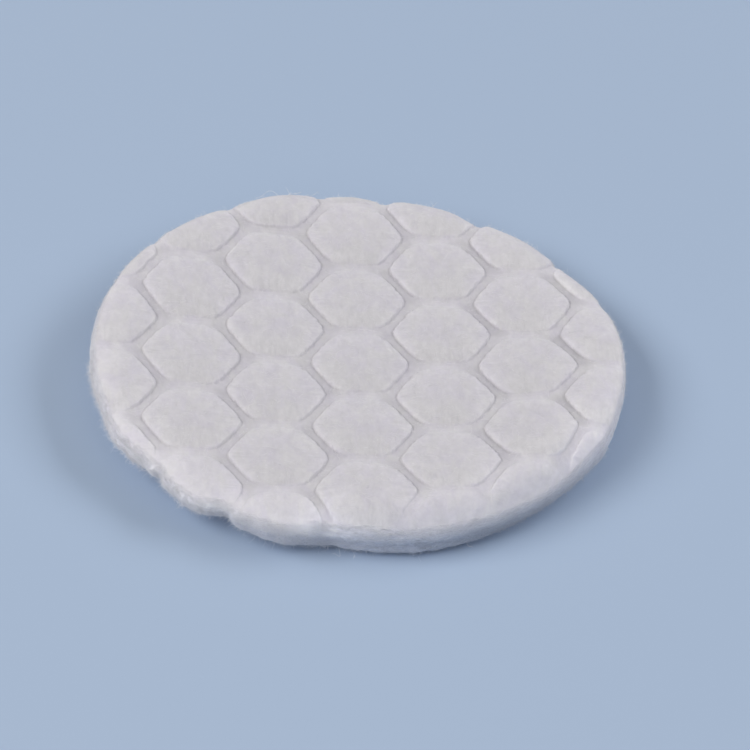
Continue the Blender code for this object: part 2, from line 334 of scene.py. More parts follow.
LONG_FIBRE_RADIUS = 0.016 * MM
LONG_ROOT_DEPTH = 0.05 * MM
LONG_FIBRE_WAVE = 0.12
LONG_FIBRES = (
    (106, 0.0, 192, 12, 2.4 * MM),
    (101, 0.0, 20, 10, 1.8 * MM),
    (98, 0.1, 172, 10, 1.7 * MM),
    (103, 0.1, 130, 20, 1.3 * MM),
    (110, 0.1, 185, 20, 1.4 * MM),
    (100, 0.0, 178, 4, 2.6 * MM),
    (103, 0.0, 186, 6, 2.2 * MM),
    (105, 0.0, 8, 5, 1.8 * MM),
    (72, 0.1, 30, 20, 1.2 * MM),
    (266, 0.9, 240, -8, 2.0 * MM),
    (267, 0.8, 285, -15, 1.6 * MM),
    (264, 0.9, 215, -5, 1.7 * MM),
    (252, 0.7, 230, -10, 1.3 * MM),
    (292, 0.8, 310, -15, 1.4 * MM),
    (322, 0.5, 350, 10, 1.0 * MM),
)

# Colours, and the sizes of the shader's patterns in mm
COTTON_COOL = (0.662, 0.632, 0.688, 1.0)
COTTON_WARM = (0.672, 0.650, 0.668, 1.0)
# Blue-grey painted shade, with the floor's blue light in it, for low on the cut side
COTTON_PAINTED_SHADE = (0.562, 0.606, 0.715, 1.0)
WARMTH_RANGE = (0.35, 0.65)
WARM_PLEATS = 0.2
FIBRE_COLOR = (0.95, 0.94, 0.96, 1.0)
# The loose fibres' blue-grey painted shade
FIBRE_PAINTED_SHADE = (0.80, 0.85, 0.96, 1.0)
FLOOR_COLOR = (0.45, 0.555, 0.72, 1.0)
MOTTLING_SIZE = 1.8
CLOUD_SIZE = 1.0
GRAIN_SIZE = 0.4
DRAWN_SIZES = (1.0, 1 / 0.62, 1.0)
STRAND_DEGREES = (38, 76, 98, 137)
STRAND_LENGTH = 3.0
STRAND_WIDTH = 0.32
STRAND_SHARPNESS = 5.0
FRONT_PLEAT_SIZES = (0.42, 3.2, 1.0)
SIDE_PLEAT_SIZES = (2.4, 0.34, 1.0)
STREAK_SIZES = (2.6, 2.6, 0.3)

# The shader's patterns: how strongly each changes the brightness, its middle value, and how high it stands
PATTERNS = {
    "felt": (0.02, 0.5, 0.5),
    "grain": (0.11, 0.5, 1.0),
    "clouds": (0.24, 0.5, 0.0),
    "mottling": (0.10, 0.5, 1.2),
    "pleats": (0.16, 0.0, 2.6),
    "streaks": (0.25, 0.0, 3.0),
}
BUMP_DISTANCE = 0.035 * MM

# Camera, found from the pad's outline and honeycomb in the 750 x 750 frame
CAMERA_TURN_DEGREES = -5.19
CAMERA_HEIGHT_DEGREES = 38.57
CAMERA_ROLL_DEGREES = 5.41
CAMERA_DISTANCE = 521 * MM
CAMERA_CLIP_START = 10 * MM
FOCAL_PIXELS = 4860
FRAME_PIXELS = 750
SENSOR_MM = 36
AIM_POINT = Vector((1.68, -2.10, 3.65)) * MM

# Floor, lamps and world
FLOOR_SIZE = 6.0
LAMP_DISTANCE = 1.2
WORLD_COLOR = (0.93, 0.96, 1.0, 1.0)
WORLD_STRENGTH = 0.22


def turns(count):
    """Equal steps of a full turn, in radians."""
    return np.arange(count) * 2 * math.pi / count


def eased(share):
    """A smooth step from 0 at share 0 to 1 at share 1."""
    share = np.clip(share, 0, 1)
    return share**2 * (3 - 2 * share)


def ramp(values, start, width):
    """0 up to the start, rising smoothly to 1 over the width."""
    return eased((values - start) / width)


def rising(values, first, width):
    """The first value at 0, rising smoothly to 1 over the width."""
    return first + (1 - first) * eased(values / width)


def bell(values, middle, width):
    return np.exp(-(((values - middle) / width) ** 2))


def fading(distance, reach):
    """1 at distance 0, falling off over the reach."""
    return np.exp(-distance / reach)


def near(azimuth, place):
    """1 at a place on the rim, falling to 0 away from it."""
    degrees, half_width = place
    away = (np.degrees(azimuth) - degrees + 180) % 360 - 180
    return bell(away, 0, half_width)


def ways(azimuth):
    """Level directions of length 1."""
    return np.stack([np.cos(azimuth), np.sin(azimuth)], axis=-1)


def direction(heading, climb):
    """A direction of length 1, from a heading (0 is +X) and a climb in degrees."""
    heading, climb = math.radians(heading), math.radians(climb)
    level = math.cos(climb)
    return np.array([math.cos(heading) * level, math.sin(heading) * level, math.sin(climb)])


def azimuth_of(points):
    return np.arctan2(points[:, 1], points[:, 0])


def radius_of(points):
    return np.hypot(points[:, 0], points[:, 1])


def bumps(points, size, place):
    """Perlin noise between about -1 and 1, at points in two or three dimensions."""
    spots = np.zeros((len(points), 3))
    spots[:, : points.shape[1]] = points
    spots = spots / size + place
    return np.array([noise.noise(spot) for spot in spots.tolist()])


def around_rim(values, azimuth):
    """A smooth closed curve through values that stand at equal steps of azimuth, the first at 0."""
    place = np.asarray(azimuth) / (2 * math.pi) * len(values)
    step = np.floor(place).astype(int)
    t = place - step
    before, start, end, after = (values[(step + k) % len(values)] for k in (-1, 0, 1, 2))
    slope_in = (end - before) / 2
    slope_out = (after - start) / 2
    bend = 3 * (end - start) - 2 * slope_in - slope_out
    return start + slope_in * t + bend * t**2 + (slope_in + slope_out - 2 * (end - start)) * t**3


# Outline

def rim_radius(azimuth):
    """Distance of the cut outline from the pad's middle."""
    radius = MEAN_RADIUS + DIAGONAL_EXTRA * np.sin(2 * azimuth)
    for degrees, half_width, reach in BULGES:
        radius = radius + reach * near(azimuth, (degrees, half_width))
    return radius


def outline(azimuth, inset):
    """Points of the pad's outline, moved towards the middle by the inset."""
    return (rim_radius(azimuth) - inset)[:, None] * ways(azimuth)


def side_swell(azimuth):
    """How far the cut side bulges out beyond the edges of both skins."""
    return around_rim(SIDE_SWELLS, azimuth)


def skin_distance(points):
    """How far each point lies inside the edge of the skin."""
    azimuth = azimuth_of(points)
    return rim_radius(azimuth) - side_swell(azimuth) - radius_of(points)


# Honeycomb

def edge_distance(offsets):
    """Distance from points around a cell's centre to the nearest groove's middle, softened at the cell's
    corners."""
    next_cells = [
        (x * COLUMN_PITCH, y * ROW_PITCH)
        for x, y in ((0, 1), (0, -1), (1, 0.5), (1, -0.5), (-1, 0.5), (-1, -0.5))
    ]
    closeness = 0
    for next_x, next_y in next_cells:
        gap = math.hypot(next_x, next_y)
        to_groove = gap / 2 - (offsets[..., 0] * next_x + offsets[..., 1] * next_y) / gap
        closeness = closeness + np.exp(-to_groove / CORNER_SOFTNESS)
    return -CORNER_SOFTNESS * np.log(closeness)


def cell_centres():
    """Centres of the cells that may reach the pad. Every second column is half a row lower."""
    columns = math.ceil(MEAN_RADIUS / COLUMN_PITCH) + 1
    rows = math.ceil(MEAN_RADIUS / ROW_PITCH) + 1
    centres = [
        (MIDDLE_CELL_X + column * COLUMN_PITCH, MIDDLE_CELL_Y + (row - (column % 2) / 2) * ROW_PITCH)
        for column in range(-columns, columns + 1)
        for row in range(-rows, rows + 2)
    ]
    return np.array(centres)


def cell_offsets(points):
    """Offset of each point from the centre of the cell that it lies in, and that centre."""
    left = np.floor((points[:, 0] - MIDDLE_CELL_X) / COLUMN_PITCH)
    found = []
    for column in (left, left + 1):
        half = (column % 2) / 2
        row = np.round((points[:, 1] - MIDDLE_CELL_Y) / ROW_PITCH + half)
        centre_x = MIDDLE_CELL_X + column * COLUMN_PITCH
        centre_y = MIDDLE_CELL_Y + (row - half) * ROW_PITCH
        found.append(np.stack([centre_x, centre_y], axis=-1))
    first_nearer = edge_distance(points - found[0]) > edge_distance(points - found[1])
    centres = np.where(first_nearer[:, None], found[0], found[1])
    return points - centres, centres


def wander(points):
    """How far the pressed pattern strays sideways at each point. It is shifted most at the lower right."""
    strayed = np.stack([bumps(points, *WANDER_X_BUMPS), bumps(points, *WANDER_Y_BUMPS)], axis=-1)
    shifted = bell(radius_of(points - SHIFTED_PLACE), 0, SHIFT_REACH)
    return PATTERN_WANDER * strayed + SHIFT * shifted[:, None]


def level_share(points):
    """1 along the grooves between the cells of one column, falling to 0 at the slanting ones."""
    offsets, _ = cell_offsets(points - np.array([0, ROW_PITCH / 2]))
    along = offsets[:, 0] / LEVEL_GROOVE_HALF_LENGTH
    across = offsets[:, 1] / LEVEL_GROOVE_HALF_WIDTH
    return np.exp(-(along**4) - across**4)


def deep_level(points):
    """1 at the one level groove at the back that is pressed in deeper, falling to 0 away from it."""
    return bell(radius_of(points - DEEP_LEVEL_PLACE), 0, DEEP_LEVEL_REACH)


def groove_share(points, level):
    """1 on the pad, falling where the grooves run out at its rolled rim. Level ones that follow the rim
    are gone there."""
    azimuth = azimuth_of(points)
    off_rim = skin_distance(points)
    kept = around_rim(GROOVE_ENDS, azimuth) + KEPT_GROOVE_SHARE * near(azimuth, KEPT_GROOVE)
    kept = np.clip(kept, 0, 1)
    end_width = GROOVE_END_WIDTH + FRONT_END_WIDTH * near(azimuth, FRONT_END)
    share = kept + (1 - kept) * eased(off_rim / end_width)
    following = level * np.sin(azimuth) ** 4
    return share * (1 - following * (1 - ramp(off_rim, *LEVEL_END_RAMP)))


def pressed_depth(points, offsets, inside):
    """How far the skin lies below a cell's crown: a gentle slope, a rounded edge, then a steep wall. The
    back of each cell slopes into its level groove without a wall."""
    level = level_share(points)
    share = groove_share(points, level)
    level_depth = LEVEL_GROOVE_DEPTH + DEEP_LEVEL_EXTRA * deep_level(points)
    depth = (GROOVE_DEPTH + (level_depth - GROOVE_DEPTH) * level) * share
    at_back = level * eased(offsets[:, 1] / BACK_SLOPE_START)
    crumple = bumps(points, *CRUMPLE_BUMPS) + FINE_CRUMPLE_SHARE * bumps(points, *FINE_CRUMPLE_BUMPS)
    past_floor = inside + WALL_CRUMPLE * crumple - GROOVE_FLOOR_WIDTH / 2
    wall = 1 - eased(past_floor / (GROOVE_WALL_WIDTH + BACK_SLOPE_WIDTH * at_back))
    beyond_wall = past_floor - GROOVE_WALL_WIDTH / 2
    edge = np.clip(1 - beyond_wall / EDGE_ROUNDING_WIDTH, 0, 1)
    crown = np.clip(1 - beyond_wall / (ROW_PITCH / 2 - GROOVE_FLOOR_WIDTH / 2), 0, 1)
    swell = EDGE_ROUNDING * edge**2 + CROWN_HEIGHT * crown**2
    return depth * wall + swell * share + RUN_OUT_DEPTH * (1 - share)


def puckers(offsets, centres, inside):
    """Fine pleats that run in from the grooves and fade out on the cell."""
    around = np.arctan2(offsets[:, 1], offsets[:, 0]) * (COLUMN_PITCH / 2)
    fade = ramp(inside, *PUCKER_START_RAMP) * (1 - ramp(inside, *PUCKER_END_RAMP))
    inwards = inside / PUCKER_STRETCH + centres[:, 0] * CELL_STEP
    spots = np.column_stack([around, inwards, centres[:, 1] * CELL_STEP])
    return PUCKER_DEPTH * fade * bumps(spots, *PUCKER_BUMPS)


def pleat_shares(points):
    """How strongly the skin is pleated along Y, in front of each cell, and along X, beside its left and
    right ends."""
    offsets, _ = cell_offsets(points - wander(points))
    off_wall = ramp(edge_distance(offsets), *PLEAT_START_RAMP)
    towards_front = np.clip(-offsets[:, 1] / (ROW_PITCH / 2), 0, 1)
    towards_side = np.clip(np.abs(offsets[:, 0]) / (COLUMN_PITCH / 2), 0, 1)
    along_y = off_wall * eased(towards_front / FRONT_PLEAT_SHARE) * (1 - FRONT_PLEAT_SIDE_LOSS * towards_side)
    beside_middle = 1 - eased(np.abs(offsets[:, 1]) / SIDE_PLEAT_HALF_WIDTH)
    along_x = off_wall * ramp(towards_side, *SIDE_PLEAT_RAMP) * beside_middle
    return along_y, along_x


def rim_rise(azimuth):
    from_diagonal = azimuth - math.radians(HIGH_DIAGONAL_DEGREES)
    return RIM_RISE + RIM_RISE_EXTRA * np.cos(2 * from_diagonal)


def top_height(points):
    """Height of the upper skin."""
    pattern = points - wander(points)
    offsets, centres = cell_offsets(pattern)
    inside = edge_distance(offsets)
    azimuth = azimuth_of(points)
    outside_flat = np.clip(radius_of(points) - FLAT_RADIUS, 0, None) / (rim_radius(azimuth) - FLAT_RADIUS)
    curl = rim_rise(azimuth) * outside_flat**2
    rolled = np.clip(1 - skin_distance(points) / ROLL_WIDTH, 0, 1) ** ROLL_POWER
    height = MIDDLE_THICKNESS - pressed_depth(pattern, offsets, inside) + curl
    height = height - around_rim(ROLL_DROPS, azimuth) * rolled
    uneven = bumps(points, *UNEVEN_BUMPS) + FINE_UNEVENNESS_SHARE * bumps(points, *FINE_UNEVEN_BUMPS)
    uneven = SWELL_UNEVENNESS * uneven * ramp(inside, *PLATEAU_RAMP)
    return height + puckers(offsets, centres, inside) + uneven


# Shades

def groove_dullness(points, pattern, offsets, level):
    """How much darker a groove is than a cell: partly its denser pressed cotton, partly painted shade. Those
    that run down to the right are the darkest, most of all at the pad's right, and the one deep level groove
    at the back is darker too."""
    steep = eased(offsets[:, 0] * offsets[:, 1] / STEEP_CHANGE_AREA + 0.5)
    steep_dullness_and_shade = STEEP_GROOVE_DULLNESS_AND_SHADE + RIGHT_GROOVE_PAINTED_SHADE * ramp(points[:, 0], *RIGHT_GROOVE_SHADE_RAMP)
    slanting_dullness_and_shade = OTHER_GROOVE_DULLNESS_AND_SHADE + (steep_dullness_and_shade - OTHER_GROOVE_DULLNESS_AND_SHADE) * steep
    return (1 - level) * slanting_dullness_and_shade + DEEP_LEVEL_DULLNESS_AND_SHADE * level * deep_level(pattern)


def edge_paleness(points, offsets, inside, level):
    """How much paler a cell's edge is: evenly where the cotton is drawn tight, and a painted highlight where
    the edge faces the lamps, most where it faces the left and towards the pad's right.
    """
    off_wall = np.clip(inside - WALL_MIDDLE, 0, None)
    reach = radius_of(offsets) + MM
    to_left = np.clip(offsets @ LEFT_WAY / reach, 0, 1)
    to_right = np.clip(offsets[:, 0] / reach, 0, 1)
    at_right = ramp(points @ BRIGHTER_HIGHLIGHT_WAY, *BRIGHTER_HIGHLIGHT_RAMP)
    line = EDGE_LINE_PALENESS + LEFT_EDGE_PAINTED_HIGHLIGHT * to_left**2 * (1 + RIGHT_HIGHLIGHT_EXTRA * at_right)
    wide = EDGE_PALENESS + RIGHT_EDGE_PAINTED_HIGHLIGHT * to_right + WIDE_LEFT_EDGE_PAINTED_HIGHLIGHT * to_left * at_right
    paleness_and_painted_light = wide * fading(off_wall, EDGE_PALENESS_REACH) + line * fading(off_wall, EDGE_LINE_REACH)
    return paleness_and_painted_light * (1 - (1 - LEVEL_EDGE_SHARE) * level)


def rim_paleness(points):
    """Painted light on the skin near the rim: the cut side's painted light fading onto it, more all round but
    at the front, and more at the back right, the right and the front right.
    """
    azimuth = azimuth_of(points)
    off_rim = np.clip(skin_distance(points), 0, None)
    paleness_and_painted_light = (side_tone(azimuth, 0.0) - 1) * fading(off_rim, SIDE_TONE_REACH)
    all_but_front = 1 - near(azimuth, DARK_FRONT)
    paleness_and_painted_light = paleness_and_painted_light + SKIN_RIM_PAINTED_LIGHT * all_but_front * fading(off_rim, SKIN_RIM_REACH)
    back_right = near(azimuth, BACK_RIM) * fading(off_rim, BACK_RIM_REACH)
    right = near(azimuth, RIGHT_RIM) * bell(off_rim, 0, RIGHT_RIM_REACH)
    front = near(azimuth, FRONT_SKIN) * bell(off_rim, *FRONT_SKIN_BELL)
    paleness_and_painted_light = paleness_and_painted_light + BACK_RIM_PAINTED_LIGHT * back_right + RIGHT_RIM_PAINTED_LIGHT * right
    return paleness_and_painted_light + FRONT_SKIN_PAINTED_LIGHT * front


def skin_tone(points):
    """Brightness of the skin, with painted light and shade: the pressed grooves are darker, partly painted
    shade, and each cell's front has painted shade; the cells' edges are paler, partly a painted highlight,
    and the cells' back edges and the rim have painted light."""
    pattern = points - wander(points)
    offsets, _ = cell_offsets(pattern)
    inside = edge_distance(offsets)
    level = level_share(pattern)
    share = groove_share(points, level)
    in_groove = (1 - ramp(inside, *GROOVE_TONE_RAMP)) * share
    towards_back = np.clip(offsets[:, 1] / (ROW_PITCH / 2), -1, 1)
    cell = 1 + edge_paleness(points, offsets, inside, level) * share + FRONT_PAINTED_SHADE_BACK_LIGHT * towards_back
    groove = 1 - groove_dullness(points, pattern, offsets, level) * share
    back_edge = BACK_EDGE_PAINTED_LIGHT * level * share * ramp(offsets[:, 1], *BACK_EDGE_RAMP)
    return cell * (1 - in_groove) + groove * in_groove + back_edge + rim_paleness(points)


def side_tone(azimuth, share):
    """Brightness of the cut side from the skin's edge at share 0 down to 1, which is painted light and shade:
    painted light all round, most at the lower left, high up at the front, on a bulge and at the notch, and
    painted shade low down at the front and right."""
    left = LEFT_SIDE_PAINTED_LIGHT * near(azimuth, LEFT_SIDE) * rising(share, *LEFT_SIDE_RISE)
    high_up = (1 - share) ** HIGH_UP_POWER
    front = FRONT_SIDE_PAINTED_LIGHT * high_up - FRONT_SIDE_PAINTED_SHADE * (1 - high_up)
    front = front * near(azimuth, FRONT_SIDE)
    right = RIGHT_SIDE_PAINTED_SHADE * near(azimuth, RIGHT_SIDE) * ramp(share, *RIGHT_SIDE_RAMP)
    bulge = BULGE_PAINTED_LIGHT * near(azimuth, LIT_BULGE)
    bulge = bulge * rising(share, *LIT_BULGE_RISE) * (1 - ramp(share, *LIT_BULGE_END_RAMP))
    notch = NOTCH_PAINTED_LIGHT * near(azimuth, LIT_NOTCH)
    notch = notch * rising(share, *LIT_NOTCH_RISE) * (1 - ramp(share, *LIT_NOTCH_END_RAMP))
    return 1 + RIM_PAINTED_LIGHT + left + front - right + bulge + notch


def side_coolness(azimuth, share):
    """How far the cut side turns from white to a blue-grey painted shade, with the floor's blue light in it:
    most low down at the front and right.
    """
    return near(azimuth, BLUE_SHADED_SIDE) * ramp(share, *BLUE_SHADED_SIDE_RAMP)


# Cut side

def grooved(azimuth):
    """1 where a groove runs into the rim, falling to 0 beside it."""
    edge = outline(azimuth, side_swell(azimuth))
    offsets, _ = cell_offsets(edge - wander(edge))
    return bell(edge_distance(offsets), 0, SCALLOP_HALF_WIDTH)


def low_edge_height(azimuth):
    """Height of the cut side's lower edge, which never goes below the table."""
    return np.clip(around_rim(LOW_EDGE_HEIGHTS, azimuth), 0, None)


def fraying(azimuth):
    """How loose the cut side's layers are: most at the front, and some at the lower left."""
    front = FRONT_FRAYING * near(azimuth, FRAYED_FRONT)
    return LEAST_FRAYING + front + LEFT_FRAYING * near(azimuth, FRAYED_LEFT)


def raggedness(azimuth, share, around):
    """Uneven tufts at the left and low down at the front."""
    coarse = bumps(np.column_stack([around, share * RAG_SPAN]), *RAG_BUMPS)
    fine = bumps(np.column_stack([around, share * FINE_RAG_SPAN]), *FINE_RAG_BUMPS)
    left = near(azimuth, RAGGED_LEFT) * rising(share, *RAGGED_LEFT_RISE)
    low_front = FRONT_RAG_SHARE * near(azimuth, RAGGED_FRONT) * ramp(share, *RAGGED_FRONT_RAMP)
    return RIM_RAGGEDNESS * (coarse + FINE_RAG_SHARE * fine) * (left + low_front)


def layers(azimuth, share):
    """Relief of the fluffy side: long flat wisps that lie one above another, ragged tufts, a recess over a
    lip at the front, and a notch low down at the lower left."""
    around = ways(azimuth) * MEAN_RADIUS
    level = share * LAYER_SPAN + LAYER_DRIFT * bumps(around, *DRIFT_BUMPS)
    wisps = bumps(np.column_stack([around / WISP_STRETCH, level]), *WISP_BUMPS)
    tufts = bumps(np.column_stack([around, level]), *TUFT_BUMPS)
    envelope = np.sin(math.pi * np.clip(share, 0, 1)) * ramp(share, *LAYER_RAMP)
    relief = LAYER_RELIEF * envelope * fraying(azimuth) * (wisps + TUFT_SHARE * tufts)
    recess = FRONT_RECESS * near(azimuth, RECESS) * bell(share, *RECESS_BELL)
    lip = FRONT_LIP * near(azimuth, LIP) * bell(share, *LIP_BELL)
    notch = NOTCH_DEPTH * near(azimuth, NOTCH) * ramp(share, *NOTCH_RAMP)
    return relief + raggedness(azimuth, share, around) - recess + lip - notch


def side_points(azimuth, share, lift=0.0):
    """Points of the cut side, from the skin's edge at share 0 down to the underside's edge at 1, lifted
    off it."""
    skin_edge = top_height(outline(azimuth, side_swell(azimuth)))
    low = low_edge_height(azimuth)
    drawn_in = side_swell(azimuth) * (1 - np.clip(np.sin(math.pi * share), 0, 1) ** SIDE_ROUNDNESS)
    high_up = (1 - share) ** SCALLOP_POWER
    scallop = SCALLOP_DEPTH * grooved(azimuth) * around_rim(GROOVE_ENDS, azimuth) * high_up
    inset = drawn_in + UNDERCUT * share**3 + scallop - layers(azimuth, share) - lift
    height = skin_edge + (low - skin_edge) * share
    return np.column_stack([outline(azimuth, inset), height])


# Meshes

def cell_ring(level):
    """Points around a cell at one distance from its grooves, found by halving along each direction."""
    count = int(2 * math.pi * (CELL_MEAN_RADIUS - level) / RING_SPACING)
    spokes = ways(turns(count))
    nearest, farthest = np.zeros(count), np.full(count, ROW_PITCH)
    for _ in range(RING_HALVINGS):
        middle = (nearest + farthest) / 2
        inside = edge_distance(spokes * middle[:, None]) > level
        nearest = np.where(inside, middle, nearest)
        farthest = np.where(inside, farthest, middle)
    return spokes * nearest[:, None]


def lattice(reach, spacing):
    """A triangular lattice of points over a square of the given half width."""
    row_height = math.sqrt(0.75)
    rows = math.ceil(reach / (spacing * row_height))
    columns = math.ceil(reach / spacing)
    points = [
        ((column + (row % 2) / 2) * spacing, row * spacing * row_height)
        for row in range(-rows, rows + 1)
        for column in range(-columns, columns + 1)
    ]
    return np.array(points)


def top_points():
    """Points inside the skin's edge: rings that follow the honeycomb, and a lattice in each cell's middle."""
    middle = lattice(COLUMN_PITCH / 2, MIDDLE_SPACING)
    middle = middle[edge_distance(middle) > RING_LEVELS[-1] + MIDDLE_GAP]
    one_cell = np.concatenate([*(cell_ring(level) for level in RING_LEVELS), middle])
    points = (cell_centres()[:, None] + one_cell[None]).reshape(-1, 2)
    points = points[skin_distance(points) > -EDGE_MARGIN]
    moved = points + wander(points)
    points = points + wander(moved)
    return points[skin_distance(points) > EDGE_SPACING]


def underside_points():
    points = lattice(MEAN_RADIUS, UNDERSIDE_SPACING)
    return points[skin_distance(points) - UNDERCUT > UNDERSIDE_GAP]


def underside_height(points):
    """Flat on the table in the middle, and rising to the cut side's lower edge."""
    azimuth = azimuth_of(points)
    edge_radius = rim_radius(azimuth) - side_swell(azimuth) - UNDERCUT
    outside_rest = np.clip(radius_of(points) - REST_RADIUS, 0, None) / (edge_radius - REST_RADIUS)
    dimples = DIMPLE_DEPTH * (1 + bumps(points, *DIMPLE_BUMPS))
    return low_edge_height(azimuth) * outside_rest**2 + dimples


def filled(edge, inner):
    """Triangles over the loop `edge` through all the inner points. They number the edge's points first."""
    points = [Vector(p) for p in np.concatenate([edge, inner])]
    loop = [(i, (i + 1) % len(edge)) for i in range(len(edge))]
    inside_loop = 1
    result = delaunay_2d_cdt(points, loop, [], inside_loop, MERGE_DISTANCE)
    triangles, merged_from = result[2], result[3]
    return [tuple(min(merged_from[i]) for i in triangle) for triangle in triangles]


def new_object(name, data):
    item = bpy.data.objects.new(name, data)
    bpy.context.scene.collection.objects.link(item)
    return item


def new_piece(name, points, faces, material):
    mesh = bpy.data.meshes.new(name)
    mesh.from_pydata(np.asarray(points).tolist(), [], faces)
    mesh.shade_smooth()
    mesh.materials.append(material)
    piece = new_object(name, mesh)
    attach(piece, "root")
    return piece


def add_values(piece, name, values):
    """A value at each point of the piece, which its material reads by name."""
    layer = piece.data.attributes.new(name, "FLOAT", "POINT")
    layer.data.foreach_set("value", values)


def unit(vectors):
    return vectors / (np.linalg.norm(vectors, axis=2, keepdims=True) + SMALLEST_LENGTH)


def tubes(name, material, paths, radius, shades):
    """A piece of thin closed tubes with three sides. The paths are points along each fibre, each fibre has
    a radius, and the shades are values for its material."""
    count, steps, _ = paths.shape
    along = unit(np.gradient(paths, axis=1))
    sideways = unit(np.cross(along, CHANCE.normal(size=(count, 1, 3))))
    upwards = np.cross(along, sideways)
    taper = np.sin(math.pi * np.linspace(*FIBRE_TAPER, steps)) ** 0.5
    reach = radius[:, None, None] * taper[None, :, None]
    corners = [
        paths + reach * (math.cos(turn) * sideways + math.sin(turn) * upwards)
        for turn in turns(3)
    ]
    points = np.stack(corners, axis=2).reshape(-1, 3)
    first = np.arange(count)[:, None] * steps * 3 + np.arange(steps - 1)[None] * 3
    faces = []
    for corner, following in ((0, 1), (1, 2), (2, 0)):
        here, beside = first + corner, first + following
        quads = np.stack([here, beside, beside + 3, here + 3], axis=-1)
        faces.extend(map(tuple, quads.reshape(-1, 4).tolist()))
    start = np.arange(count) * steps * 3
    end = start + (steps - 1) * 3
    faces.extend(map(tuple, np.stack([start + 2, start + 1, start], axis=-1).tolist()))
    faces.extend(map(tuple, np.stack([end, end + 1, end + 2], axis=-1).tolist()))
    piece = new_piece(name, points, faces, material)
    for shade, values in shades.items():
        add_values(piece, shade, np.repeat(values, steps * 3))


# Loose fibres

def wave(count, steps, size):
    """A gentle random wave along each fibre, 0 at its start."""
    place = np.linspace(0, 1, steps)[None]
    pace = CHANCE.uniform(*WAVE_PACES, (count, 1)) * 2 * math.pi
    shift = CHANCE.uniform(0, 2 * math.pi, (count, 1))
    return size * (np.sin(pace * place + shift) - np.sin(shift))


def waves(count, steps, size):
    """A random wave along each fibre in each of the three directions."""
    return np.stack([wave(count, steps, size) for _ in range(3)], axis=-1)


def fibre_shades(azimuth, share):
    """Tone with painted light, and blue-grey painted shade, of loose fibres, which are like those of the side
    behind them.
    """
    tone_and_painted_light = np.minimum(side_tone(azimuth, share) / (1 + RIM_PAINTED_LIGHT), 1)
    return {"tone_and_painted_light": tone_and_painted_light, "painted_blue_shade": side_coolness(azimuth, share)}


def side_fibres(count, steps):
    """Fibres that lie along the cut side, with their middles lifted off it a little."""
    at_front = CHANCE.random(count) < FRONT_FIBRE_SHARE
    azimuth = np.where(
        at_front,
        np.radians(CHANCE.normal(*FRONT_FIBRE_SPREAD, count)),
        CHANCE.uniform(0, 2 * math.pi, count),
    )
    length = CHANCE.uniform(*SIDE_FIBRE_LENGTHS, (count, 1))
    place = np.linspace(-0.5, 0.5, steps)[None]
    middle_share = CHANCE.uniform(*SIDE_FIBRE_SHARES, count)
    share = middle_share[:, None] + CHANCE.normal(0, SIDE_FIBRE_SLANT, (count, 1)) * place
    share = np.clip(share + wave(count, steps, SIDE_FIBRE_WAVE), 0, 1)
    around = azimuth[:, None] + length * place / MEAN_RADIUS
    lift = CHANCE.uniform(*SIDE_FIBRE_LIFTS, (count, 1)) * np.cos(math.pi * place) - FIBRE_END_DEPTH
    paths = side_points(around.ravel(), share.ravel(), lift.ravel()).reshape(count, steps, 3)
    return paths, CHANCE.uniform(*SIDE_FIBRE_RADII, count), fibre_shades(azimuth, middle_share)


def fuzz(count, first_degrees, last_degrees, mean_length, top_share, low_share, steps):
    """Short hairs in tufts that stand off the cut side between two azimuths and two shares down it."""
    tufts = CHANCE.integers(0, count // HAIRS_PER_TUFT, count)
    azimuth = np.radians(CHANCE.uniform(first_degrees, last_degrees, count))[tufts]
    azimuth = azimuth + CHANCE.normal(0, AZIMUTH_SPREAD, count)
    share = CHANCE.beta(TUFT_BETA, TUFT_BETA, count)[tufts] + CHANCE.normal(0, TUFT_SHARE_SPREAD, count)
    share = np.clip(top_share + (low_share - top_share) * share, 0, FUZZ_LOWEST_SHARE)
    roots = side_points(azimuth, share, np.full(count, -FUZZ_ROOT_DEPTH))
    along = np.stack([-np.sin(azimuth), np.cos(azimuth)], axis=-1)
    sweep = CHANCE.normal(0, TUFT_SWEEP_SPREAD, count)[tufts] + CHANCE.normal(0, HAIR_SWEEP_SPREAD, count)
    climb = CHANCE.normal(TUFT_CLIMB, TUFT_CLIMB_SPREAD, count)[tufts]
    climb = climb + CHANCE.normal(0, HAIR_CLIMB_SPREAD, count)
    headings = np.column_stack([ways(azimuth) + along * sweep[:, None], climb])
    headings /= np.linalg.norm(headings, axis=1, keepdims=True)
    length = CHANCE.gamma(FUZZ_GAMMA, mean_length / FUZZ_GAMMA, count)[:, None, None]
    place = np.linspace(0, 1, steps)[None, :, None]
    paths = roots[:, None] + headings[:, None] * length * place + waves(count, steps, FUZZ_WAVE) * length
    paths[..., 2] = np.maximum(paths[..., 2], LOWEST_FIBRE)
    return paths, CHANCE.uniform(*FUZZ_RADII, count), fibre_shades(azimuth, share)


def skin_spots(count):
    """Random places on the pad, away from its rim."""
    azimuth = CHANCE.uniform(0, 2 * math.pi, count)
    return outline(azimuth, 0) * np.sqrt(CHANCE.uniform(0, INNER_AREA_SHARE, count))[:, None]


def paths_on_skin(spots, turn, lengths, profile, lifts):
    """Wavy paths over the skin from each spot, lifted off it by a profile along them."""
    count, steps = len(spots), len(profile)
    heading = CHANCE.uniform(0, turn, (count, 1)) + wave(count, steps, HEADING_WAVE)
    length = CHANCE.uniform(*lengths, (count, 1))
    flat = spots[:, None] + np.cumsum(ways(heading) * (length / steps)[..., None], axis=1)
    lift = profile * CHANCE.uniform(*lifts, (count, 1))
    height = top_height(flat.reshape(-1, 2)).reshape(count, steps) + lift
    return np.concatenate([flat, height[..., None]], axis=-1)


